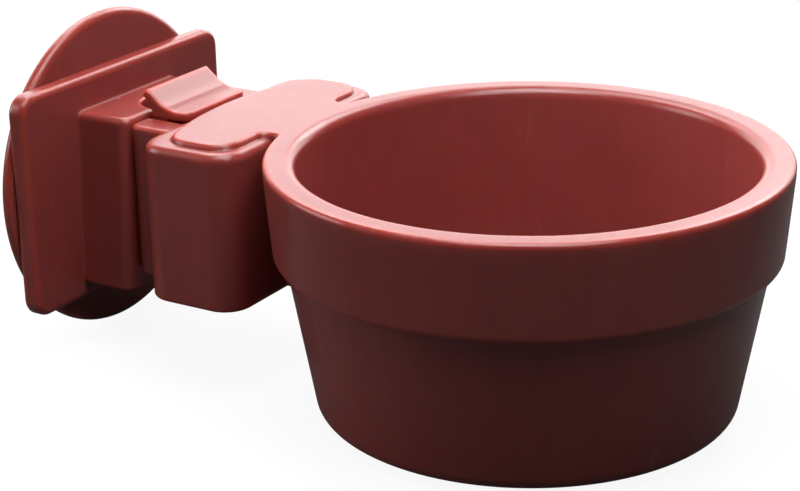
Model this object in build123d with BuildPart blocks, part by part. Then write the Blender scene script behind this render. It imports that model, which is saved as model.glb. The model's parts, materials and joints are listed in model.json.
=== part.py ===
"""Hang-on seed cup with a T-rail bracket, a thumb latch and a clamp for cage wires.

Millimetres. The origin is the middle of the plate's back face, on the clamp stud's axis.
+Z is up, +Y points through the cage wires, and the bowl is at -Y.
Values that end in reach are measured from the bowl's axis towards the cage.
"""
import math
import os

from build123d import *

# Bowl
rim_diameter = 105.0
rim_width = 6.3
rim_rise = 18.9
cup_height = 53.0
band_height = 19.4
band_taper = 1.4
band_step = 2.2
base_diameter = 86.0
base_wall = 2.4
floor_thickness = 2.6
rim_inner_round = 2.2
band_round = 1.0
base_round = 3.0
cavity_round = 6.0

# Socket block on the bowl's back
socket_lap = 0.1
socket_width = 58.0
socket_depth = 23.6
socket_height = 34.1
socket_corner = 6.0
socket_top_round = 1.9
socket_foot_round = 0.8
socket_wall = 2.6
socket_lip = 2.65
pocket_corner = 2.0
ledge_thickness = 3.3
web_width = 21.0
web_lift = 0.8

# Collar behind the socket block, open along its middle
collar_width = 35.0
collar_depth = 10.4
collar_drop = 0.8
collar_slot = 23.0
collar_gap = 0.9
collar_corner = 2.2
collar_top_round = 0.8

# Crown: the rim's top and the platform over the socket, on one level
platform_step = 1.2
platform_side_margin = 2.8
platform_front_margin = 2.3
platform_back_margin = 1.7
platform_corner = 6.0
throat_width = 26.0
throat_round = 2.2
throat_rim_round = 1.0
crown_sink = 1.0
crown_round = 0.9

# Mounting plate
plate_width = 69.0
plate_height = 49.6
plate_thickness = 4.0
plate_corner = 4.2
plate_front_round = 1.3
plate_back_round = 0.8

# Bracket block on the plate's front
block_depth = 13.4
block_top_width = 33.8
block_foot_width = 38.0
block_rise = 0.7
block_foot_margin = 4.1
block_front_round = 2.4
block_top_round = 1.5

# T-rail
rail_head_width = 41.0
rail_head_thickness = 5.3
rail_foot_lift = 0.6
rail_lead = 1.0
rail_gap = 0.35
seat_gap = 0.2

# Thumb latch
strike_depth = 0.6
hook_depth = 1.0
latch_room = 2.1
latch_gap = 0.3
pad_side_gap = 0.5
pad_front_height = 1.8
pad_ramp_lead = 6.8
pad_ramp_radius = 8.0
pad_ramp_angle = 39.0
pad_slope = 3.9
pad_lip_thickness = 1.9
pad_lip_round = 0.6
pad_nose_corner = 2.5
pad_edge_round = 0.5
leaf_width = 12.0
leaf_thickness = 2.2
leaf_length = 26.2
leaf_gap = 0.4
leaf_back_gap = 0.1
leaf_side_gap = 0.5
bead_diameter = 3.2
bead_gap = 0.05
bead_throat = 3.5
recess_depth = 8.0
recess_radius = 7.4

# Clamp
stud_diameter = 10.0
stud_wall = 3.3
stud_end = 3.5
stud_chamfer = 1.0
press_fit = 0.03
disc_diameter = 71.6
disc_thickness = 3.0
disc_rim_flat = 0.1
disc_hub_diameter = 26.0
disc_hub_height = 1.8
disc_hub_round = 0.6
disc_gap = 0.1
disc_bore_gap = 0.3
nut_foot_diameter = 19.0
nut_top_diameter = 15.0
nut_height = 9.0
nut_seat_gap = 0.1
nut_bore_gap = 0.05
wing_span = 38.0
wing_thickness = 4.2
wing_top = 11.0
wing_tip_radius = 4.6
wing_root_radius = 3.2
wing_root_lift = 4.4
wing_edge_round = 0.8

# Allowance by which a cut runs past an open face
cut_over = 5.0

# Depths from the bowl's axis, and the same depths from the plate's back
rim_radius = rim_diameter / 2
mouth_radius = rim_radius - rim_width
socket_front_reach = rim_radius - socket_lap
socket_back_reach = socket_front_reach + socket_depth
collar_back_reach = socket_back_reach + collar_depth
head_back_reach = socket_back_reach - socket_lip - rail_gap
head_front_reach = head_back_reach - rail_head_thickness
cup_reach = collar_back_reach + collar_gap + block_depth + plate_thickness
socket_back_y = socket_back_reach - cup_reach
collar_back_y = collar_back_reach - cup_reach
head_back_y = head_back_reach - cup_reach
head_front_y = head_front_reach - cup_reach
block_front_y = -plate_thickness - block_depth
strike_y = socket_back_y + strike_depth
nose_y = strike_y - hook_depth
leaf_back_y = block_front_y - latch_room
leaf_front_y = leaf_back_y - leaf_thickness
ramp_y = leaf_back_y - pad_ramp_lead
bead_y = leaf_back_y - leaf_thickness / 2
slot_front_y = leaf_front_y - leaf_gap
slot_back_y = block_front_y + leaf_back_gap
stud_root_depth = -slot_back_y - stud_wall
nut_y = disc_gap + disc_thickness + disc_hub_height + nut_seat_gap
stud_length = nut_y + nut_height + stud_end

# Heights from the clamp's axis
rim_z = rim_rise
base_z = rim_z - cup_height
band_z = rim_z - band_height
ledge_z = rim_z - platform_step
crown_z = ledge_z - crown_sink
roof_z = ledge_z - ledge_thickness
foot_z = ledge_z - socket_height
collar_z = ledge_z - collar_drop
head_z = roof_z - seat_gap
rail_foot_z = foot_z + rail_foot_lift
block_top = collar_z + block_rise
block_foot = block_foot_margin - plate_height / 2
pad_z = collar_z + latch_gap
ramp_z = pad_z + pad_front_height
bead_z = pad_z - leaf_length

# Widths that mate
rail_web_width = collar_slot - 2 * rail_gap
pad_width = collar_slot - 2 * pad_side_gap
slot_width = leaf_width + 2 * leaf_side_gap

cup_side = Plane((0, -cup_reach, 0), x_dir=(1, 0, 0), z_dir=(0, -1, 0))
cup_plan = Plane((0, -cup_reach, 0), x_dir=(1, 0, 0), z_dir=(0, 0, 1))
cup_axis = Axis((0, -cup_reach, 0), (0, 0, 1))
end_plane = Plane((0, 0, 0), x_dir=(0, 1, 0), z_dir=(1, 0, 0))


def nearest(builder, u, v):
    """Give the sketch corner that lies closest to a point of its plane."""
    return builder.vertices().sort_by_distance((u, v, 0))[0]


def band_box(width, y_from, y_to, corner=0.0):
    """Draw a rectangle centred on the middle plane, between two depths."""
    with Locations((0, (y_from + y_to) / 2)):
        if corner:
            RectangleRounded(width, y_to - y_from, corner)
        else:
            Rectangle(width, y_to - y_from)


# Block that carries the socket
with BuildPart() as socket_block:
    with BuildSketch(cup_plan.offset(foot_z)):
        band_box(socket_width, socket_front_reach, socket_back_reach, socket_corner)
    extrude(amount=socket_height)
    fillet(socket_block.faces().sort_by(Axis.Z)[-1].edges(), socket_top_round)
    fillet(socket_block.faces().sort_by(Axis.Z)[0].edges(), socket_foot_round)

# Collar that stands against the bracket
with BuildPart() as collar:
    with BuildSketch(cup_plan.offset(foot_z)):
        band_box(collar_width, head_back_reach, collar_back_reach, collar_corner)
    extrude(amount=socket_height - collar_drop)
    fillet(collar.faces().sort_by(Axis.Z)[-1].edges().sort_by(Axis.Y)[1:], collar_top_round)

# Crown: outline of rim and platform with soft corners, rounded along its whole top edge
with BuildPart() as crown:
    with BuildSketch(cup_plan.offset(crown_z)) as crown_plan:
        half = socket_width / 2 - platform_side_margin
        throat = throat_width / 2
        front_y = socket_front_reach + platform_front_margin
        back_radius = socket_back_reach - platform_back_margin
        back_y = math.sqrt(back_radius**2 - half**2)
        rim_y = math.sqrt(rim_radius**2 - throat**2)
        Circle(rim_radius)
        with BuildLine():
            ThreePointArc((half, back_y), (0, back_radius), (-half, back_y))
            Polyline(
                (-half, back_y),
                (-half, front_y),
                (-throat, front_y),
                (-throat, mouth_radius),
                (throat, mouth_radius),
                (throat, front_y),
                (half, front_y),
                (half, back_y),
            )
        make_face()
        for side in (-1, 1):
            fillet(nearest(crown_plan, side * half, back_y), platform_corner)
            fillet(nearest(crown_plan, side * half, front_y), platform_corner)
            fillet(nearest(crown_plan, side * throat, front_y), throat_round)
            fillet(nearest(crown_plan, side * throat, rim_y), throat_rim_round)
    extrude(amount=rim_z - crown_z)
    fillet(crown.faces().sort_by(Axis.Z)[-1].edges(), crown_round)

# Cup: bowl, crown, web, socket block and collar in one piece
with BuildPart() as cup:
    with BuildSketch(cup_side) as bowl_outline:
        base_radius = base_diameter / 2
        band_foot = rim_radius - band_taper
        with BuildLine():
            Polyline(
                (0, base_z),
                (base_radius, base_z),
                (band_foot - band_step, band_z),
                (band_foot, band_z),
                (rim_radius, crown_z),
                (0, crown_z),
                close=True,
            )
        make_face()
        fillet(nearest(bowl_outline, base_radius, base_z), base_round)
        fillet(nearest(bowl_outline, band_foot, band_z), band_round)
    revolve(axis=cup_axis)
    add(crown.part)
    add(socket_block.part)
    add(collar.part)
    with BuildSketch(cup_plan.offset(foot_z + web_lift)):
        band_box(web_width, base_radius, socket_front_reach + socket_wall)
    extrude(amount=socket_height - web_lift)
    with BuildSketch(cup_side) as hollow:
        floor_z = base_z + floor_thickness
        floor_radius = base_radius - base_wall
        with BuildLine():
            Polyline(
                (0, floor_z),
                (floor_radius, floor_z),
                (mouth_radius, rim_z),
                (mouth_radius, rim_z + cut_over),
                (0, rim_z + cut_over),
                close=True,
            )
        make_face()
        fillet(nearest(hollow, floor_radius, floor_z), cavity_round)
    revolve(axis=cup_axis, mode=Mode.SUBTRACT)
    with BuildSketch(Plane.XY.offset(foot_z)):
        band_box(rail_head_width + 2 * rail_gap, head_front_y - rail_gap, head_back_y + rail_gap)
        band_box(collar_slot, head_front_y, collar_back_y + cut_over)
    extrude(amount=roof_z - foot_z, mode=Mode.SUBTRACT)
    with BuildSketch(Plane.XY.offset(roof_z)):
        band_box(collar_slot, strike_y, collar_back_y + cut_over)
    extrude(amount=ledge_thickness, mode=Mode.SUBTRACT)
    with BuildSketch(cup_plan.offset(foot_z)):
        pocket_front = socket_front_reach + socket_wall
        pocket_back = head_front_reach - rail_gap - socket_wall
        band_box(socket_width - 2 * socket_wall, pocket_front, pocket_back, pocket_corner)
    extrude(amount=roof_z - foot_z, mode=Mode.SUBTRACT)
    mouth_edges = cup.edges().filter_by(GeomType.CIRCLE).filter_by(
        lambda edge: abs(edge.radius - mouth_radius) < 0.01 and abs(edge.center().Z - rim_z) < 0.01
    )
    fillet(mouth_edges, rim_inner_round)

# Bracket block on the plate's front
with BuildPart() as bracket:
    with BuildSketch(Plane.XZ.offset(plate_thickness / 2)):
        Polygon(
            (-block_top_width / 2, block_top),
            (-block_foot_width / 2, block_foot),
            (block_foot_width / 2, block_foot),
            (block_top_width / 2, block_top),
            align=None,
        )
    extrude(amount=block_depth + plate_thickness / 2)
    front_edges = bracket.faces().sort_by(Axis.Y)[0].edges().sort_by(Axis.X)
    fillet([front_edges[0], front_edges[-1]], block_front_round)
    fillet(bracket.faces().sort_by(Axis.Z)[-1].edges().sort_by(Axis.Y)[:-1], block_top_round)

# Plate, bracket and T-rail in one piece
with BuildPart() as mounting_plate:
    with BuildSketch(Plane.XZ):
        RectangleRounded(plate_width, plate_height, plate_corner)
    extrude(amount=plate_thickness)
    fillet(mounting_plate.faces().sort_by(Axis.Y)[0].edges(), plate_front_round)
    fillet(mounting_plate.faces().sort_by(Axis.Y)[-1].edges(), plate_back_round)
    add(bracket.part)
    with BuildSketch(Plane.XY.offset(rail_foot_z)):
        band_box(rail_head_width, head_front_y, head_back_y)
        band_box(rail_web_width, head_front_y, block_front_y + block_front_round)
    extrude(amount=head_z - rail_foot_z)
    head_face = mounting_plate.faces().filter_by(Axis.Z).sort_by_distance((0, head_front_y, head_z))[0]
    chamfer(head_face.edges().sort_by(Axis.Y)[:3], rail_lead)
    with BuildSketch(Plane.XY.offset(collar_z - recess_depth)):
        band_box(slot_width, slot_front_y, slot_back_y)
        with Locations((0, slot_back_y)):
            Circle(recess_radius)
    extrude(amount=block_rise + recess_depth, mode=Mode.SUBTRACT)
    with BuildSketch(Plane.XY.offset(bead_z + bead_throat)):
        band_box(slot_width, slot_front_y, slot_back_y)
    extrude(amount=collar_z - bead_z - bead_throat, mode=Mode.SUBTRACT)
    with BuildSketch(Plane.XY.offset(bead_z)):
        band_box(slot_width, slot_front_y, leaf_back_y + leaf_gap)
    extrude(amount=bead_throat, mode=Mode.SUBTRACT)
    with BuildSketch(end_plane):
        with Locations((bead_y, bead_z)):
            Circle(bead_diameter / 2 + bead_gap)
    extrude(amount=slot_width / 2, both=True, mode=Mode.SUBTRACT)
    with BuildSketch(Plane.XZ):
        Circle(stud_diameter / 2)
    extrude(amount=stud_root_depth, mode=Mode.SUBTRACT)

# Latch: thumb ramp on a leaf, with a round bead at the leaf's root
with BuildPart() as thumb_latch:
    with BuildSketch(end_plane) as pad:
        with BuildLine():
            front = Polyline(
                (leaf_back_y, pad_z),
                (nose_y, pad_z),
                (nose_y, ramp_z),
                (ramp_y, ramp_z),
            )
            ramp = JernArc(front @ 1, (1, 0), pad_ramp_radius, pad_ramp_angle)
            slope = PolarLine(ramp @ 1, pad_slope, pad_ramp_angle)
            back = PolarLine(slope @ 1, pad_lip_thickness, pad_ramp_angle - 90)
            overhang = (back @ 1).X - leaf_back_y
            under = PolarLine(back @ 1, overhang / math.cos(math.radians(pad_ramp_angle)), pad_ramp_angle - 180)
            Line(under @ 1, (leaf_back_y, pad_z))
        make_face()
        for corner in (slope @ 1, back @ 1):
            fillet(nearest(pad, corner.X, corner.Y), pad_lip_round)
    extrude(amount=pad_width / 2, both=True)
    fillet(thumb_latch.faces().sort_by(Axis.Y)[0].edges().filter_by(Axis.Z), pad_nose_corner)
    nose_top = thumb_latch.faces().filter_by(Axis.Z).sort_by(Axis.Z)[-1].edges().sort_by(Axis.Y)[:-1]
    pad_ends = thumb_latch.faces().filter_by(Axis.X).edges().filter_by(
        lambda edge: edge.center().Y > ramp_y and edge.center().Z > (pad_z + ramp_z) / 2
    )
    fillet(nose_top + pad_ends, pad_edge_round)
    with BuildSketch(end_plane):
        with Locations((bead_y, (bead_z + ramp_z) / 2)):
            Rectangle(leaf_thickness, ramp_z - bead_z)
        with Locations((bead_y, bead_z)):
            Circle(bead_diameter / 2)
    extrude(amount=leaf_width / 2, both=True)

# Clamp stud, pressed into the plate
with BuildPart() as clamp_stud:
    with BuildSketch(Plane.XZ):
        Circle(stud_diameter / 2 + press_fit)
    extrude(amount=stud_root_depth)
    with BuildSketch(Plane.XZ):
        Circle(stud_diameter / 2)
    extrude(amount=-stud_length)
    chamfer(clamp_stud.faces().sort_by(Axis.Y)[-1].edges(), stud_chamfer)

# Clamp disc, free on the stud
with BuildPart() as clamp_disc:
    with BuildSketch(Plane.XZ.offset(-disc_gap)):
        Circle(disc_diameter / 2)
    extrude(amount=-disc_thickness)
    fillet(clamp_disc.edges(), (disc_thickness - disc_rim_flat) / 2)
    with BuildSketch(Plane.XZ.offset(-disc_gap - disc_thickness)):
        Circle(disc_hub_diameter / 2)
    extrude(amount=-disc_hub_height)
    fillet(clamp_disc.faces().sort_by(Axis.Y)[-1].edges(), disc_hub_round)
    with BuildSketch(Plane.XZ):
        Circle(stud_diameter / 2 + disc_bore_gap)
    extrude(amount=-nut_y, mode=Mode.SUBTRACT)

# Wing nut behind the disc
with BuildPart() as wing_nut:
    with BuildSketch(Plane.XZ.offset(-nut_y)):
        Circle(nut_foot_diameter / 2)
    with BuildSketch(Plane.XZ.offset(-nut_y - nut_height)):
        Circle(nut_top_diameter / 2)
    loft()
    for side in (-1, 1):
        with BuildSketch(end_plane):
            with Locations((nut_y + wing_top - wing_tip_radius, side * (wing_span / 2 - wing_tip_radius))):
                Circle(wing_tip_radius)
            with Locations((nut_y + wing_root_lift, side * nut_top_diameter / 4)):
                Circle(wing_root_radius)
            make_hull()
        extrude(amount=wing_thickness / 2, both=True)
    wing_edges = wing_nut.faces().filter_by(Axis.X).edges()
    fillet([edge for edge in wing_edges if abs(edge.center().Z) > nut_foot_diameter / 2], wing_edge_round)
    with BuildSketch(Plane.XZ):
        Circle(stud_diameter / 2 + nut_bore_gap)
    extrude(amount=-stud_length - cut_over, mode=Mode.SUBTRACT)

pieces = {
    "cup": cup,
    "mounting_plate": mounting_plate,
    "thumb_latch": thumb_latch,
    "clamp_stud": clamp_stud,
    "clamp_disc": clamp_disc,
    "wing_nut": wing_nut,
}
os.makedirs("parts", exist_ok=True)
for label, piece in pieces.items():
    piece.part.label = label
    export_step(piece.part, f"parts/{label}.step")
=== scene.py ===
"""Seed cup in red moulded plastic: finishes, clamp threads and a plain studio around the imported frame.

Metres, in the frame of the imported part: +Z is up, +Y points through the cage wires, and the origin is on
the clamp stud's axis at the mounting plate's back face.
"""

import json
import logging
import math
from dataclasses import dataclass, field
from enum import Enum

import bpy
from mathutils import Matrix, Vector

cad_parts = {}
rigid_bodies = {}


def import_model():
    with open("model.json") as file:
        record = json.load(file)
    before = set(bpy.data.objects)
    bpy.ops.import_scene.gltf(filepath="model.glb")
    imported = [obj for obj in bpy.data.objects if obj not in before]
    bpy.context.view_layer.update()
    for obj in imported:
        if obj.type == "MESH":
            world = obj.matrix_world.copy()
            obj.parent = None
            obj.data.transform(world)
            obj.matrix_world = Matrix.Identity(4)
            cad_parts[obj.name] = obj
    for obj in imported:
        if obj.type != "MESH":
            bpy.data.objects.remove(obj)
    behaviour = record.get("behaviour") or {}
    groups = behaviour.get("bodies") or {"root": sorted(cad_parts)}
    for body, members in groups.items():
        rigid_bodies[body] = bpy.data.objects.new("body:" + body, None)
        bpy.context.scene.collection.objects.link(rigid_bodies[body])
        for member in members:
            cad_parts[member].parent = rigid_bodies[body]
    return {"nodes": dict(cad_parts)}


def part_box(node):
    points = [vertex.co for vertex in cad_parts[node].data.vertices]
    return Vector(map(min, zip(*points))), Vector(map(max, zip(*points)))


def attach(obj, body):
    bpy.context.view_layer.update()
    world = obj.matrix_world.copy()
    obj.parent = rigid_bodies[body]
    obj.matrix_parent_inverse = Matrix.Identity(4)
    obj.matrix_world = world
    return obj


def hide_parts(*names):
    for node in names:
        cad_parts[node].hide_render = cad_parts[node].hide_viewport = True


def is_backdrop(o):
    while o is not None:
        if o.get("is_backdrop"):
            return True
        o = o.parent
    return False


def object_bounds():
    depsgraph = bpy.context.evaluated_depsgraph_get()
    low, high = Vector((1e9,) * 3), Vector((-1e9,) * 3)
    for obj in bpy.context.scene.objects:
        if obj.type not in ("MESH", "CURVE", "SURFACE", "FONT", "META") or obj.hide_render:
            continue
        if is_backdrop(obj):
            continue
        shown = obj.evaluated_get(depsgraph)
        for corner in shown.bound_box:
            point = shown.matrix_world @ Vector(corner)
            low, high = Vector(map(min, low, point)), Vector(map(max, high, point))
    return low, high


log = logging.getLogger("seed_cup")

MM = 0.001
FLOOR_GAP = 0.05 * MM
LONG_LAMP_TURN = 58.3
THREAD_INPUTS = (
    "Start",
    "Length",
    "Pitch",
    "Major",
    "Root",
    "Run In",
    "Chamfer",
    "Outer",
    "Cut Over",
)

Colour = tuple[float, float, float]
Point = tuple[float, float, float]
Span = tuple[float, float]
Socket = bpy.types.NodeSocket
Sizes = bpy.types.NodeOutputs


class EdgeGlowLevel(Enum):
    """How strongly the painted warm glow is laid on a moulding's outer edges, in place of light that the
    plastic lets through.
    """

    FAINT = 0.25
    HANDLED = 0.6
    GRIPPED = 1.0


class NodeDesk:
    """A small helper that lays out and links the nodes of one tree."""

    COLUMN_WIDTH = 180

    def __init__(self, tree: bpy.types.NodeTree) -> None:
        """Keep the tree and start at the left edge.

        Args:
            tree: The node tree to fill.
        """
        self.tree = tree
        self.column = 0

    def add(self, kind: str, label: str = "", **settings: object) -> bpy.types.Node:
        """Add one node and set its properties.

        Args:
            kind: The node's type name.
            label: A plain-word label that shows in the editor.
            **settings: Properties of the node, by name.

        Returns:
            The new node.
        """
        node = self.tree.nodes.new(kind)
        node.label = label
        node.location = (self.column * self.COLUMN_WIDTH, 0)
        self.column += 1
        for name, value in settings.items():
            setattr(node, name, value)
        return node

    def link(self, out: Socket, into: Socket) -> None:
        """Link an output socket to an input socket."""
        self.tree.links.new(out, into)

    def math(
        self, operation: str, first: Socket | float, second: Socket | float | None = None, label: str = ""
    ) -> Socket:
        """Add a math node on sockets or numbers.

        Args:
            operation: The math node's operation.
            first: A socket or a number.
            second: A socket, a number, or nothing for one-sided operations.
            label: A plain-word label.

        Returns:
            The node's result socket.
        """
        node = self.add("ShaderNodeMath", label, operation=operation)
        for socket, value in zip(node.inputs, (first, second)):
            if isinstance(value, Socket):
                self.link(value, socket)
            elif value is not None:
                socket.default_value = value
        return node.outputs[0]


@dataclass(frozen=True)
class Noise:
    """A noise pattern with features of one size, in metres, and a number of finer layers."""

    size: float
    detail: float

    def add(self, desk: NodeDesk, vector: Socket, label: str) -> Socket:
        """Add the noise texture to a tree.

        Args:
            desk: The tree to add to.
            vector: The coordinates that it reads.
            label: A plain-word label.

        Returns:
            The noise value.
        """
        node = desk.add("ShaderNodeTexNoise", label)
        node.inputs["Scale"].default_value = 1.0 / self.size
        node.inputs["Detail"].default_value = self.detail
        desk.link(vector, node.inputs["Vector"])
        return node.outputs["Fac"]


@dataclass(frozen=True)
class RedPlastic:
    """Satin red plastic with moulding flow, a fine grain and a painted warm glow along outer edges."""

    body: Colour = (0.262, 0.047, 0.042)
    deep: Colour = (0.242, 0.041, 0.037)
    # painted light: warm orange for outer edges, standing in for light that the plastic lets through at lit
    # edges
    painted_glow: Colour = (0.70, 0.080, 0.025)
    clouds: Noise = Noise(14 * MM, 3.0)
    flow: Noise = Noise(3.2 * MM, 4.0)
    flow_stretch: Point = (1.0, 1.0, 0.15)
    grain: Noise = Noise(0.35 * MM, 2.0)
    grain_height: float = 0.012 * MM
    grain_strength: float = 0.35
    flow_in_colour: float = 0.45
    colour_span: Span = (0.36, 0.62)
    flow_in_gloss: float = 0.6
    gloss_span: Span = (0.3, 0.7)
    roughness: Span = (0.20, 0.28)
    ior: float = 1.5
    specular_level: float = 0.45
    subsurface: float = 0.75
    glow_depth: float = 2.6 * MM
    glow_spread: Colour = (1.0, 0.16, 0.08)
    edge_soft: float = 1.2 * MM
    edge_soft_samples: int = 8
    edge_reach: float = 2.2 * MM
    edge_samples: int = 4
    # gain and least share of the painted edge glow
    glow_gain: float = 8.0
    glow_least: float = 0.15
    corner_fade: float = 6.0

    def material(self, name: str, glow_level: EdgeGlowLevel) -> bpy.types.Material:
        """Make the plastic for one piece.

        Args:
            name: The material's name.
            glow_level: How strong the painted glow on its outer edges is.

        Returns:
            The new material.
        """
        material = bpy.data.materials.new(name)
        material.use_nodes = True
        material.node_tree.nodes.clear()
        desk = NodeDesk(material.node_tree)
        place = desk.add("ShaderNodeTexCoord", "piece coordinates").outputs["Object"]
        drawn_out = desk.add("ShaderNodeMapping", "flow direction")
        drawn_out.inputs["Scale"].default_value = self.flow_stretch
        desk.link(place, drawn_out.inputs["Vector"])
        clouds = self.clouds.add(desk, place, "colour clouds")
        flow = self.flow.add(desk, drawn_out.outputs["Vector"], "moulding flow")
        grain = self.grain.add(desk, place, "fine grain")
        shader = desk.add("ShaderNodeBsdfPrincipled", "red plastic")
        shader.inputs["IOR"].default_value = self.ior
        shader.inputs["Specular IOR Level"].default_value = self.specular_level
        shader.inputs["Subsurface Weight"].default_value = self.subsurface
        shader.inputs["Subsurface Radius"].default_value = self.glow_spread
        shader.inputs["Subsurface Scale"].default_value = self.glow_depth
        desk.link(self._colour(desk, clouds, flow, glow_level), shader.inputs["Base Color"])
        desk.link(self._satin(desk, flow, grain), shader.inputs["Roughness"])
        desk.link(self._skin(desk, grain), shader.inputs["Normal"])
        out = desk.add("ShaderNodeOutputMaterial")
        desk.link(shader.outputs["BSDF"], out.inputs["Surface"])
        return material

    def _share(self, desk: NodeDesk, first: Socket, second: Socket, share: float, label: str) -> Socket:
        """Mix two values, the first by its share and the second by the rest.

        Args:
            desk: The tree to add to.
            first: The value that gets the share.
            second: The value that gets the rest.
            share: The first value's share, from 0 to 1.
            label: A plain-word label.

        Returns:
            The mixed value.
        """
        part = desk.math("MULTIPLY", first, share)
        rest = desk.math("MULTIPLY", second, 1.0 - share)
        return desk.math("ADD", part, rest, label)

    def _colour(self, desk: NodeDesk, clouds: Socket, flow: Socket, glow_level: EdgeGlowLevel) -> Socket:
        """Spread the body colour in clouds and streaks, and paint a warm glow along outer edges in place of
        light that the plastic lets through.

        Args:
            desk: The tree to add to.
            clouds: The cloud pattern.
            flow: The flow pattern.
            glow_level: How strong the painted edge glow is.

        Returns:
            The colour.
        """
        ramp = desk.add("ShaderNodeValToRGB", "body colour")
        for stop, position, colour in zip(ramp.color_ramp.elements, self.colour_span, (self.deep, self.body)):
            stop.position = position
            stop.color = (*colour, 1.0)
        desk.link(self._share(desk, flow, clouds, self.flow_in_colour, "colour spread"), ramp.inputs["Fac"])
        # Painted light: a patchy warm orange glow laid along outer edges, in place of light that the plastic
        # lets through.
        patches = desk.math("ADD", clouds, self.glow_least, "patches")
        glow_mix = desk.add("ShaderNodeMix", "rubbed edges", data_type="RGBA")
        desk.link(desk.math("MULTIPLY", self._edge(desk, glow_level), patches), glow_mix.inputs["Factor"])
        desk.link(ramp.outputs["Color"], glow_mix.inputs["A"])
        glow_mix.inputs["B"].default_value = (*self.painted_glow, 1.0)
        return glow_mix.outputs["Result"]

    def _edge(self, desk: NodeDesk, glow_level: EdgeGlowLevel) -> Socket:
        """Find outer edges by how far a softened normal leans from the real one, away from inner corners.

        Args:
            desk: The tree to add to.
            glow_level: How strong the painted glow is.

        Returns:
            A value that is 0 on flat faces and rises towards outer edges.
        """
        soft = desk.add("ShaderNodeBevel", "softened edges", samples=self.edge_samples)
        soft.inputs["Radius"].default_value = self.edge_reach
        real = desk.add("ShaderNodeNewGeometry", "real edges")
        dot = desk.add("ShaderNodeVectorMath", "lean", operation="DOT_PRODUCT")
        desk.link(soft.outputs["Normal"], dot.inputs[0])
        desk.link(real.outputs["Normal"], dot.inputs[1])
        lean = desk.math("SUBTRACT", 1.0, dot.outputs["Value"], "edge lean")
        air = desk.add("ShaderNodeAmbientOcclusion", "open side", samples=self.edge_samples, only_local=True)
        air.inputs["Distance"].default_value = self.edge_reach
        outer = desk.math("POWER", air.outputs["AO"], self.corner_fade, "outer edges")
        # strength of the painted edge glow, kept out of inner corners
        strength = desk.math("MULTIPLY", desk.math("MULTIPLY", lean, outer), self.glow_gain * glow_level.value, "painted_glow_strength")
        strength.node.use_clamp = True
        return strength

    def _satin(self, desk: NodeDesk, flow: Socket, grain: Socket) -> Socket:
        """Vary the roughness with the flow and the grain.

        Args:
            desk: The tree to add to.
            flow: The flow pattern.
            grain: The grain pattern.

        Returns:
            The roughness.
        """
        spread = desk.add("ShaderNodeMapRange", "satin spread")
        desk.link(self._share(desk, flow, grain, self.flow_in_gloss, "gloss spread"), spread.inputs["Value"])
        spread.inputs["From Min"].default_value, spread.inputs["From Max"].default_value = self.gloss_span
        spread.inputs["To Min"].default_value, spread.inputs["To Max"].default_value = self.roughness
        return spread.outputs["Result"]

    def _skin(self, desk: NodeDesk, grain: Socket) -> Socket:
        """Lay the grain on a surface whose edges are soft, as a moulding's are.

        Args:
            desk: The tree to add to.
            grain: The grain pattern.

        Returns:
            The surface's normal.
        """
        even = desk.add("ShaderNodeBevel", "soft moulded edges", samples=self.edge_soft_samples)
        even.inputs["Radius"].default_value = self.edge_soft
        bump = desk.add("ShaderNodeBump", "moulded skin")
        bump.inputs["Strength"].default_value = self.grain_strength
        bump.inputs["Distance"].default_value = self.grain_height
        desk.link(grain, bump.inputs["Height"])
        desk.link(even.outputs["Normal"], bump.inputs["Normal"])
        return bump.outputs["Normal"]


@dataclass
class Moulding:
    """A moulded piece whose CAD solid shows as it is."""

    node: str
    glow_level: EdgeGlowLevel

    def dress(self, nodes: dict[str, bpy.types.Object], plastic: RedPlastic) -> None:
        """Give the CAD node its plastic.

        Args:
            nodes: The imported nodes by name.
            plastic: The finish to use.
        """
        piece = nodes[self.node]
        piece.data.materials.clear()
        piece.data.materials.append(plastic.material(f"{self.node}_plastic", self.glow_level))
        log.info("%s: %d faces in red plastic", self.node, len(piece.data.polygons))


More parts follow.
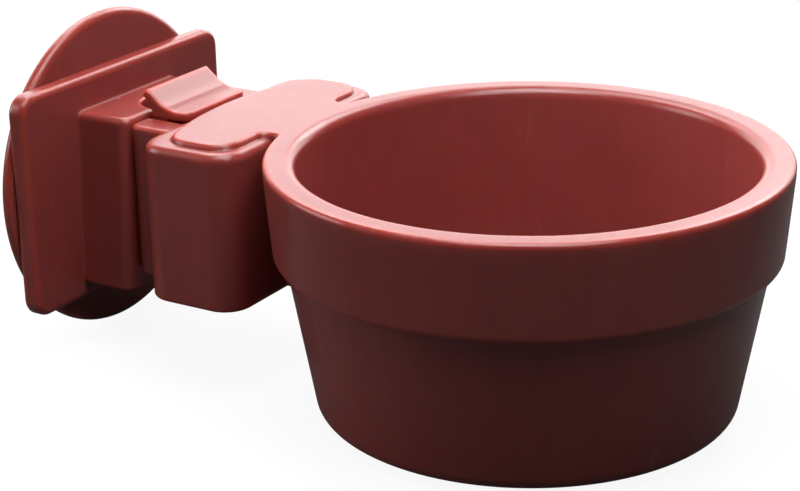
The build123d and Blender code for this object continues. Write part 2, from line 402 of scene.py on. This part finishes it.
@dataclass(frozen=True)
class Thread:
    """A right-hand moulded thread about the Y axis."""

    pitch: float = 3.0 * MM
    major: float = 5.0 * MM
    root: float = 4.1 * MM
    flank: Span = (0.28, 0.72)
    around: int = 64
    steps_per_pitch: int = 18
    sharp_angle: float = math.radians(50)

    def tree(self, name: str, sleeve: bool) -> bpy.types.NodeTree:
        """Build the Geometry Nodes of a threaded bar, or of a sleeve that such a bar has cut.

        Args:
            name: The tree's name.
            sleeve: Whether the bar is cut out of a sleeve.

        Returns:
            The new tree.
        """
        tree = bpy.data.node_groups.new(name, "GeometryNodeTree")
        tree.interface.new_socket("Geometry", in_out="OUTPUT", socket_type="NodeSocketGeometry")
        for label in THREAD_INPUTS:
            tree.interface.new_socket(label, in_out="INPUT", socket_type="NodeSocketFloat")
        tree.interface.new_socket("Material", in_out="INPUT", socket_type="NodeSocketMaterial")
        desk = NodeDesk(tree)
        sizes = desk.add("NodeGroupInput").outputs
        mesh = self._core(desk, sizes)
        if sleeve:
            past_ends = desk.math("MULTIPLY", sizes["Cut Over"], 2.0, "past both ends")
            inner = desk.math("SUBTRACT", sizes["Length"], past_ends, "sleeve length")
            cut = desk.add("GeometryNodeMeshBoolean", "nut thread", operation="DIFFERENCE", solver="EXACT")
            desk.link(self._bar(desk, sizes, sizes["Outer"], inner), cut.inputs["Mesh 1"])
            desk.link(mesh, cut.inputs["Mesh 2"])
            mesh = cut.outputs["Mesh"]
        self._close(desk, mesh, sizes["Material"])
        return tree

    def _bar(self, desk: NodeDesk, sizes: Sizes, radius: Socket, length: Socket) -> Socket:
        """Add a plain round bar along Y, about the middle of the threaded length.

        Args:
            desk: The tree to add to.
            sizes: The group inputs.
            radius: The bar's radius.
            length: The bar's length.

        Returns:
            The bar's mesh.
        """
        bar = desk.add("GeometryNodeMeshCylinder", "plain bar", fill_type="TRIANGLE_FAN")
        bar.inputs["Vertices"].default_value = self.around
        pitches = desk.math("DIVIDE", length, sizes["Pitch"], "pitches")
        steps = desk.math("MULTIPLY", pitches, self.steps_per_pitch, "steps")
        desk.link(steps, bar.inputs["Side Segments"])
        desk.link(radius, bar.inputs["Radius"])
        desk.link(length, bar.inputs["Depth"])
        middle = desk.math("ADD", sizes["Start"], desk.math("MULTIPLY", sizes["Length"], 0.5), "middle")
        shift = desk.add("ShaderNodeCombineXYZ", "shift")
        desk.link(middle, shift.inputs["Y"])
        lay = desk.add("GeometryNodeTransform", "lay along Y")
        lay.inputs["Rotation"].default_value = (math.radians(-90), 0.0, 0.0)
        desk.link(bar.outputs["Mesh"], lay.inputs["Geometry"])
        desk.link(shift.outputs["Vector"], lay.inputs["Translation"])
        return lay.outputs["Geometry"]

    def _core(self, desk: NodeDesk, sizes: Sizes) -> Socket:
        """Add a bar whose points are drawn in or out to the thread's radius.

        Args:
            desk: The tree to add to.
            sizes: The group inputs.

        Returns:
            The threaded bar's mesh.
        """
        place = desk.add("ShaderNodeSeparateXYZ", "place")
        desk.link(desk.add("GeometryNodeInputPosition").outputs["Position"], place.inputs["Vector"])
        spoke = desk.add("ShaderNodeCombineXYZ", "spoke")
        desk.link(place.outputs["X"], spoke.inputs["X"])
        desk.link(place.outputs["Z"], spoke.inputs["Z"])
        outward = desk.add("ShaderNodeVectorMath", "outward", operation="NORMALIZE")
        desk.link(spoke.outputs["Vector"], outward.inputs[0])
        reach = desk.add("ShaderNodeVectorMath", "reach", operation="SCALE")
        desk.link(outward.outputs["Vector"], reach.inputs[0])
        desk.link(self._radius(desk, sizes, place), reach.inputs["Scale"])
        height = desk.add("ShaderNodeCombineXYZ", "height")
        desk.link(place.outputs["Y"], height.inputs["Y"])
        moved = desk.add("ShaderNodeVectorMath", "threaded place", operation="ADD")
        desk.link(reach.outputs["Vector"], moved.inputs[0])
        desk.link(height.outputs["Vector"], moved.inputs[1])
        core = desk.add("GeometryNodeSetPosition", "cut thread")
        desk.link(self._bar(desk, sizes, sizes["Major"], sizes["Length"]), core.inputs["Geometry"])
        desk.link(moved.outputs["Vector"], core.inputs["Position"])
        return core.outputs["Geometry"]

    def _radius(self, desk: NodeDesk, sizes: Sizes, place: bpy.types.Node) -> Socket:
        """Add the rule for the thread's radius: one crest a pitch, turning with the angle about Y.

        Args:
            desk: The tree to add to.
            sizes: The group inputs.
            place: The point's separated coordinates.

        Returns:
            The radius.
        """
        along = place.outputs["Y"]
        angle = desk.math("ARCTAN2", place.outputs["X"], place.outputs["Z"], "angle about Y")
        turns = desk.math("DIVIDE", angle, math.tau, "turns")
        climb = desk.math("SUBTRACT", desk.math("DIVIDE", along, sizes["Pitch"]), turns, "climb")
        phase = desk.math("FRACT", climb, label="phase")
        centred = desk.math("SUBTRACT", desk.math("MULTIPLY", phase, 2.0), 1.0, "centred phase")
        wave = desk.math("ABSOLUTE", centred, label="wave")
        crest = desk.add("ShaderNodeMapRange", "flanks", interpolation_type="SMOOTHSTEP")
        desk.link(wave, crest.inputs["Value"])
        crest.inputs["From Min"].default_value, crest.inputs["From Max"].default_value = self.flank
        desk.link(sizes["Root"], crest.inputs["To Min"])
        desk.link(sizes["Major"], crest.inputs["To Max"])
        runs = desk.add("ShaderNodeMapRange", "run in")
        desk.link(along, runs.inputs["Value"])
        desk.link(sizes["Run In"], runs.inputs["From Min"])
        desk.link(desk.math("ADD", sizes["Run In"], sizes["Pitch"]), runs.inputs["From Max"])
        desk.link(sizes["Major"], runs.inputs["To Min"])
        desk.link(crest.outputs["Result"], runs.inputs["To Max"])
        end = desk.math("ADD", sizes["Start"], sizes["Length"], "end")
        left = desk.math("SUBTRACT", end, along, "length left")
        lead = desk.math("SUBTRACT", desk.math("ADD", left, sizes["Major"]), sizes["Chamfer"], "lead-in")
        return desk.math("MINIMUM", runs.outputs["Result"], lead, "radius")

    def _close(self, desk: NodeDesk, mesh: Socket, plastic: Socket) -> None:
        """Shade the mesh, realise it, give it its plastic and end the tree.

        Args:
            desk: The tree to end.
            mesh: The finished mesh.
            plastic: The material input.
        """
        smooth = desk.add("GeometryNodeSetShadeSmooth", "smooth flanks", domain="FACE")
        desk.link(mesh, smooth.inputs["Geometry"])
        angle = desk.add("GeometryNodeInputMeshEdgeAngle", "edge angle").outputs["Unsigned Angle"]
        crisp = desk.add("GeometryNodeSetShadeSmooth", "crisp ends", domain="EDGE")
        crisp.inputs["Shade Smooth"].default_value = False
        desk.link(smooth.outputs["Geometry"], crisp.inputs["Geometry"])
        desk.link(desk.math("GREATER_THAN", angle, self.sharp_angle, "sharp"), crisp.inputs["Selection"])
        real = desk.add("GeometryNodeRealizeInstances")
        desk.link(crisp.outputs["Geometry"], real.inputs["Geometry"])
        paint = desk.add("GeometryNodeSetMaterial")
        desk.link(real.outputs["Geometry"], paint.inputs["Geometry"])
        desk.link(plastic, paint.inputs["Material"])
        desk.link(paint.outputs["Geometry"], desk.add("NodeGroupOutput").inputs["Geometry"])


@dataclass
class ThreadedClamp:
    """The stud's thread, and the thread inside the wing nut that runs on it."""

    thread: Thread = field(default_factory=Thread)
    chamfer: float = 1.0 * MM
    run_in: float = 0.4 * MM
    play: float = 0.1 * MM
    sleeve_radius: float = 5.25 * MM
    sleeve_length: float = 8.9 * MM
    sleeve_lift: float = 0.05 * MM
    cut_over: float = 1.0 * MM

    def build(self, plastic: RedPlastic) -> tuple[bpy.types.Object, bpy.types.Object]:
        """Make both threads as plain meshes in their plastic.

        Args:
            plastic: The finish to use.

        Returns:
            The stud and the nut's sleeve.
        """
        low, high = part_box("clamp_stud")
        stud_sizes = {
            "Start": low.y,
            "Length": high.y - low.y,
            "Major": self.thread.major,
            "Root": self.thread.root,
            "Run In": self.run_in,
            "Chamfer": self.chamfer,
        }
        nut_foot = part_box("wing_nut")[0].y + self.sleeve_lift
        nut_sizes = {
            "Start": nut_foot - self.cut_over,
            "Length": self.sleeve_length + 2 * self.cut_over,
            "Major": self.thread.major + self.play,
            "Root": self.thread.root + self.play,
            "Run In": nut_foot - self.cut_over - self.thread.pitch,
            "Chamfer": 0.0,
        }
        stud = self._bake("stud_thread", False, stud_sizes, plastic)
        sleeve = self._bake("nut_thread", True, nut_sizes, plastic)
        return stud, sleeve

    def dress(self, stud: bpy.types.Object, sleeve: bpy.types.Object) -> None:
        """Fasten both threads to their bodies and hide the plain CAD stud.

        Args:
            stud: The threaded stud.
            sleeve: The nut's inner thread.
        """
        for piece, body in ((stud, "mount"), (sleeve, "wing_nut")):
            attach(piece, body)
        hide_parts("clamp_stud")

    def _bake(
        self, name: str, sleeve: bool, sizes: dict[str, float], plastic: RedPlastic
    ) -> bpy.types.Object:
        """Run a thread's tree once and keep its result as a plain mesh.

        Args:
            name: The piece's name.
            sleeve: Whether the thread is cut out of a sleeve.
            sizes: The tree's inputs, by name, that differ between the two threads.
            plastic: The finish to use.

        Returns:
            The plain piece, at the origin.
        """
        values = {
            "Pitch": self.thread.pitch,
            "Outer": self.sleeve_radius,
            "Cut Over": self.cut_over,
            "Material": plastic.material(f"{name}_plastic", EdgeGlowLevel.FAINT),
            **sizes,
        }
        piece = bpy.data.objects.new(name, bpy.data.meshes.new(f"{name}_start"))
        bpy.context.scene.collection.objects.link(piece)
        modifier = piece.modifiers.new(name, "NODES")
        modifier.node_group = self.thread.tree(f"{name}_tree", sleeve)
        for item in modifier.node_group.interface.items_tree:
            if item.in_out == "INPUT":
                modifier[item.identifier] = values[item.name]
        ready = piece.evaluated_get(bpy.context.evaluated_depsgraph_get())
        mesh = bpy.data.meshes.new_from_object(ready)
        piece.modifiers.clear()
        piece.data = mesh
        log.info("%s: %d faces", name, len(mesh.polygons))
        return piece


@dataclass
class SoftBox:
    """A soft rectangular lamp that faces a point."""

    name: str
    place: Point
    aim: Point
    size: Span
    watts: float
    turn: float = 0.0

    def build(self) -> None:
        """Hang the lamp in the scene."""
        lamp = bpy.data.lights.new(self.name, "AREA")
        lamp.shape = "RECTANGLE"
        lamp.size, lamp.size_y = self.size
        lamp.energy = self.watts
        holder = bpy.data.objects.new(self.name, lamp)
        holder.location = self.place
        aimed = (Vector(self.aim) - Vector(self.place)).to_track_quat("-Z", "Y")
        turned = Matrix.Rotation(math.radians(self.turn), 3, "Z").to_quaternion()
        holder.rotation_euler = (aimed @ turned).to_euler()
        holder.visible_camera = False
        bpy.context.scene.collection.objects.link(holder)


@dataclass
class Studio:
    """A pale floor, soft lamps and the camera."""

    floor_z: float
    floor_half: float = 3.0
    floor_grey: float = 0.08
    floor_glow: float = 0.92
    room_level: float = 0.03
    gloss_share: float = 0.03
    sensor: float = 36.0
    lens: float = 91.443
    near_clip: float = 10 * MM
    eye: Point = (-0.33930, -0.28427, 0.14241)
    right: Point = (0.51964879, -0.85418318, -0.01833632)
    up: Point = (0.30705086, 0.16668297, 0.93698269)
    back: Point = (-0.7972985, -0.49253211, 0.34889429)
    lamps: list[SoftBox] = field(
        default_factory=lambda: [
            SoftBox("overhead", (0.0, -0.08, 0.22), (0.0, -0.0801, 0.0), (0.5, 0.11), 0.95, LONG_LAMP_TURN),
            SoftBox("high_left", (-0.14, -0.11, 0.42), (0.0, -0.095, 0.0), (0.3, 0.15), 0.9, LONG_LAMP_TURN),
            SoftBox("rear", (1.3, 0.7, 0.5), (0.0, -0.08, 0.0), (3.2, 1.0), 24.0),
            SoftBox("rear_high", (0.45, 0.55, 0.8), (0.0, -0.06, 0.0), (0.6, 0.6), 3.0),
            SoftBox("right", (0.75, -0.05, 0.62), (0.0, -0.06, 0.0), (0.5, 0.5), 5.0),
            SoftBox("left", (-0.45, 0.75, 0.35), (0.0, -0.06, 0.0), (0.5, 0.5), 3.4),
        ]
    )

    def build(self) -> None:
        """Make the floor, the room, the lamps and the camera."""
        self._floor()
        self._room()
        for lamp in self.lamps:
            lamp.build()
        self._camera()
        bpy.context.scene.view_settings.view_transform = "Standard"
        log.info("studio: floor, %d lamps and camera", len(self.lamps))

    def _seen(self, desk: NodeDesk) -> Socket:
        """Give 1 for rays straight from the camera or through glass, a small share for gloss, else 0.

        Args:
            desk: The tree to add to.

        Returns:
            The value.
        """
        path = desk.add("ShaderNodeLightPath", "kind of ray")
        gloss = desk.math("MULTIPLY", path.outputs["Is Glossy Ray"], self.gloss_share, "dim in the satin")
        first = desk.math("MAXIMUM", path.outputs["Is Camera Ray"], gloss)
        return desk.math("MAXIMUM", first, path.outputs["Is Transmission Ray"], "seen")

    def _floor(self) -> None:
        """Lay the pale floor under the piece."""
        half, z = self.floor_half, self.floor_z
        mesh = bpy.data.meshes.new("floor")
        corners = [(-half, -half, z), (half, -half, z), (half, half, z), (-half, half, z)]
        mesh.from_pydata(corners, [], [(0, 1, 2, 3)])
        floor = bpy.data.objects.new("floor", mesh)
        bpy.context.scene.collection.objects.link(floor)
        material = bpy.data.materials.new("pale_floor")
        material.use_nodes = True
        material.node_tree.nodes.clear()
        desk = NodeDesk(material.node_tree)
        seen = self._seen(desk)
        matt = desk.add("ShaderNodeBsdfDiffuse", "floor")
        matt.inputs["Color"].default_value = (self.floor_grey,) * 3 + (1.0,)
        glow = desk.add("ShaderNodeEmission", "pale ground")
        desk.link(desk.math("MULTIPLY", seen, self.floor_glow), glow.inputs["Strength"])
        both = desk.add("ShaderNodeAddShader")
        desk.link(matt.outputs["BSDF"], both.inputs[0])
        desk.link(glow.outputs["Emission"], both.inputs[1])
        out = desk.add("ShaderNodeOutputMaterial")
        desk.link(both.outputs["Shader"], out.inputs["Surface"])
        mesh.materials.append(material)
        floor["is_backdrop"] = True

    def _room(self) -> None:
        """Fill the room with a low even light that looks white."""
        world = bpy.data.worlds.new("room")
        bpy.context.scene.world = world
        world.use_nodes = True
        world.node_tree.nodes.clear()
        desk = NodeDesk(world.node_tree)
        level = desk.add("ShaderNodeMapRange", "room level")
        desk.link(self._seen(desk), level.inputs["Value"])
        level.inputs["To Min"].default_value = self.room_level
        level.inputs["To Max"].default_value = 1.0
        sky = desk.add("ShaderNodeBackground", "room")
        desk.link(level.outputs["Result"], sky.inputs["Strength"])
        out = desk.add("ShaderNodeOutputWorld")
        desk.link(sky.outputs["Background"], out.inputs["Surface"])

    def _camera(self) -> None:
        """Stand the camera where the photograph was taken from."""
        data = bpy.data.cameras.new("camera")
        data.sensor_fit = "HORIZONTAL"
        data.sensor_width = self.sensor
        data.lens = self.lens
        data.clip_start = self.near_clip
        camera = bpy.data.objects.new("camera", data)
        turn = Matrix((self.right, self.up, self.back)).transposed().to_4x4()
        camera.matrix_world = Matrix.Translation(self.eye) @ turn
        bpy.context.scene.collection.objects.link(camera)
        bpy.context.scene.camera = camera


def main() -> None:
    """Load the frame, dress each piece and light the set."""
    logging.basicConfig(level=logging.INFO, format="%(name)s: %(message)s")
    for thing in list(bpy.data.objects):
        bpy.data.objects.remove(thing)
    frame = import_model()
    cad_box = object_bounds()
    plastic = RedPlastic()
    # each moulding with its level of painted edge glow
    mouldings = [
        Moulding("cup", EdgeGlowLevel.HANDLED),
        Moulding("mounting_plate", EdgeGlowLevel.HANDLED),
        Moulding("thumb_latch", EdgeGlowLevel.HANDLED),
        Moulding("clamp_disc", EdgeGlowLevel.HANDLED),
        Moulding("wing_nut", EdgeGlowLevel.GRIPPED),
    ]
    for moulding in mouldings:
        moulding.dress(frame["nodes"], plastic)
    clamp = ThreadedClamp()
    clamp.dress(*clamp.build(plastic))
    Studio(cad_box[0].z - FLOOR_GAP).build()


if __name__ == "__main__":
    main()
